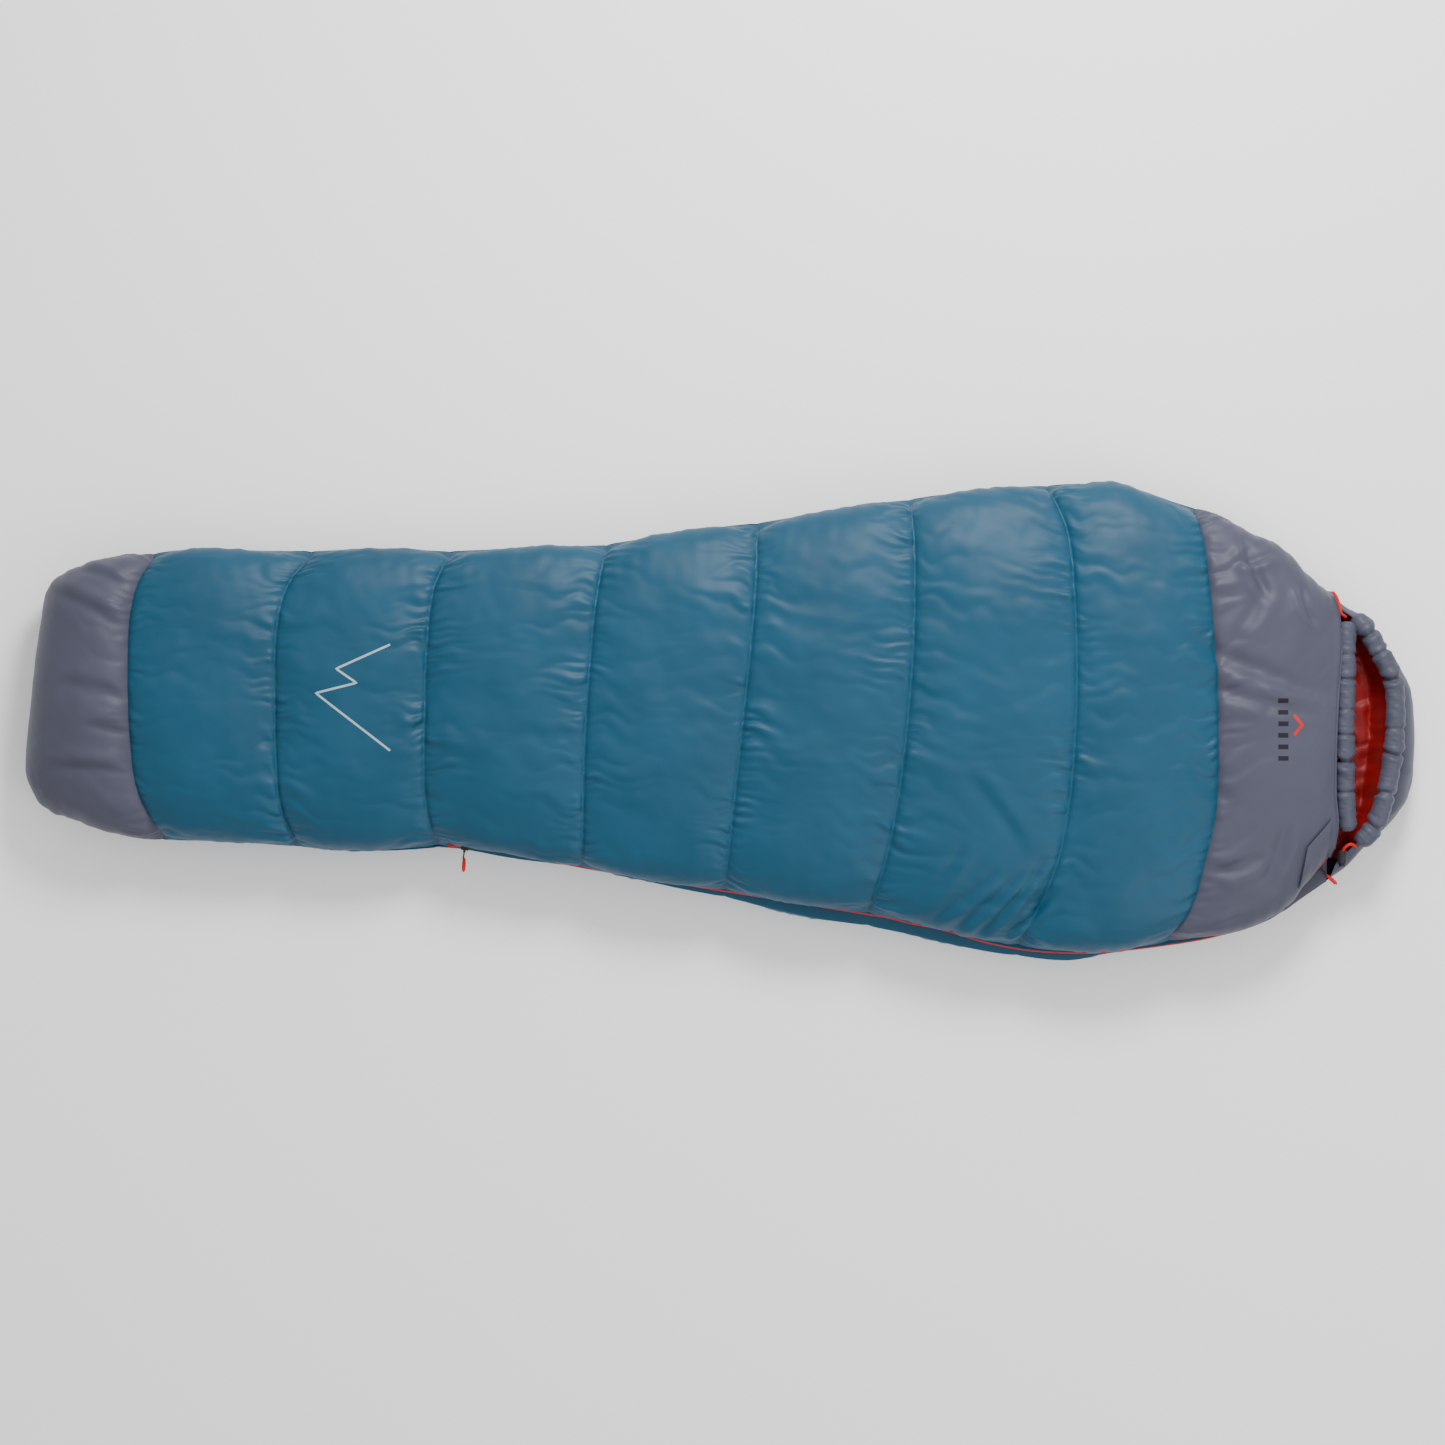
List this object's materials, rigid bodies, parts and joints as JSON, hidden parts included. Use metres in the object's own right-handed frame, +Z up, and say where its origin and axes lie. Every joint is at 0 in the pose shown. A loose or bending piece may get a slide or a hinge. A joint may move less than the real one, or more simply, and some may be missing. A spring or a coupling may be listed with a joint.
{
  "type": "mummy sleeping bag",
  "caption": "Hooded, tapering quilted sleeping bag with a side zip, a padded face opening and a top panel that folds back for entry.",
  "frame": {"origin": "on the ground, under the middle of the bag's bounding box", "axes": "+X runs along the bag from the foot to the hood, +Z is up, and +Y points to the closed side, away from the zip"},
  "size_m": [2.2, 0.7543, 0.1593],
  "materials": {
    "teal_shell": "woven nylon with a soft sheen",
    "grey_shell": "woven nylon with a soft sheen",
    "dark_shell": "woven nylon with a soft sheen",
    "red_lining": "brushed polyester",
    "fill": "loose hollow-fibre batting",
    "pale_print": "matt transfer print",
    "zip_tape": "woven tape",
    "zip_coil": "satin nylon coil",
    "slider_metal": "satin black",
    "pull_cord": "soft moulded grip",
    "red_cord": "braided cord",
    "black_plastic": "satin",
    "spring_steel": "drawn wire",
    "hook_and_loop": "hook and loop tape"
  },
  "bodies": {
    "base": {"bottom_panel": "teal_shell", "zip_side_wall": "teal_shell", "far_side_wall": "teal_shell", "seam_strip": "teal_shell", "bottom_insulation": "fill", "bottom_lining": "red_lining", "foot_shell": "grey_shell", "foot_insulation": "fill", "foot_lining": "red_lining", "top_shell": "teal_shell", "yoke_strip": "grey_shell", "top_insulation": "fill", "top_lining": "red_lining", "print_mark": "pale_print", "hood_shell": "grey_shell", "hood_floor_panel": "grey_shell", "hood_insulation": "fill", "hood_floor_insulation": "fill", "hood_lining": "red_lining", "hood_floor_lining": "red_lining", "hood_rim_roll": "dark_shell", "hood_drawcord": "red_cord", "cord_lock_barrel": "black_plastic", "cord_lock_spring": "spring_steel", "zip_tape_base": "zip_tape", "zip_coil_base": "zip_coil", "zip_bottom_stop": "zip_coil", "zip_top_stop": "zip_coil"},
    "flap": {"flap_shell": "teal_shell", "flap_yoke": "grey_shell", "flap_insulation": "fill", "flap_lining": "red_lining", "chin_roll": "dark_shell", "neck_piping": "grey_shell", "zip_tape_flap": "zip_tape", "zip_coil_flap": "zip_coil", "draft_tube": "red_lining", "yoke_loop_patch": "hook_and_loop"},
    "closure_tab": {"closure_tab": "grey_shell", "tab_hook_patch": "hook_and_loop"},
    "lower_slider": {"lower_slider_body": "slider_metal"},
    "lower_pull": {"lower_pull_tab": "slider_metal", "lower_pull_cord": "pull_cord"},
    "upper_slider": {"upper_slider_body": "slider_metal"},
    "upper_pull": {"upper_pull_tab": "slider_metal", "upper_pull_cord": "pull_cord"},
    "lock_plunger": {"cord_lock_plunger": "black_plastic"}
  },
  "joints": [
    {"name": "flap_fold", "type": "hinge", "parent": "base", "child": "flap", "pos_m": [0.2615, -0.003, 0.17], "axis": [-0.9637, -0.267, 0], "range_deg": [0, 170]},
    {"name": "tab_swing", "type": "hinge", "parent": "flap", "child": "closure_tab", "pos_m": [0.9265, -0.237, 0.10847], "axis": [0.6519, 0.758, 0.0217], "range_deg": [0, 100]},
    {"name": "lower_slide", "type": "slide", "parent": "base", "child": "lower_slider", "axis": [0.987, -0.1608, 0], "range_m": [0, 0.6]},
    {"name": "lower_pull_swing", "type": "hinge", "parent": "lower_slider", "child": "lower_pull", "pos_m": [-0.40892, -0.20453, 0.0655], "axis": [0, 0, 1], "range_deg": [-50, 50]},
    {"name": "upper_slide", "type": "slide", "parent": "base", "child": "upper_slider", "axis": [-0.6791, -0.734, 0], "range_m": [0, 0.065]},
    {"name": "upper_pull_swing", "type": "hinge", "parent": "upper_slider", "child": "upper_pull", "pos_m": [0.94818, -0.232, 0.0655], "axis": [0, 0, 1], "range_deg": [-50, 0]},
    {"name": "cord_lock_press", "type": "slide", "parent": "base", "child": "lock_plunger", "axis": [0, 1, 0], "range_m": [0, 0.004], "stiffness_N_per_m": 800, "springref_m": -0.002, "deforming": ["cord_lock_spring"]}
  ]
}
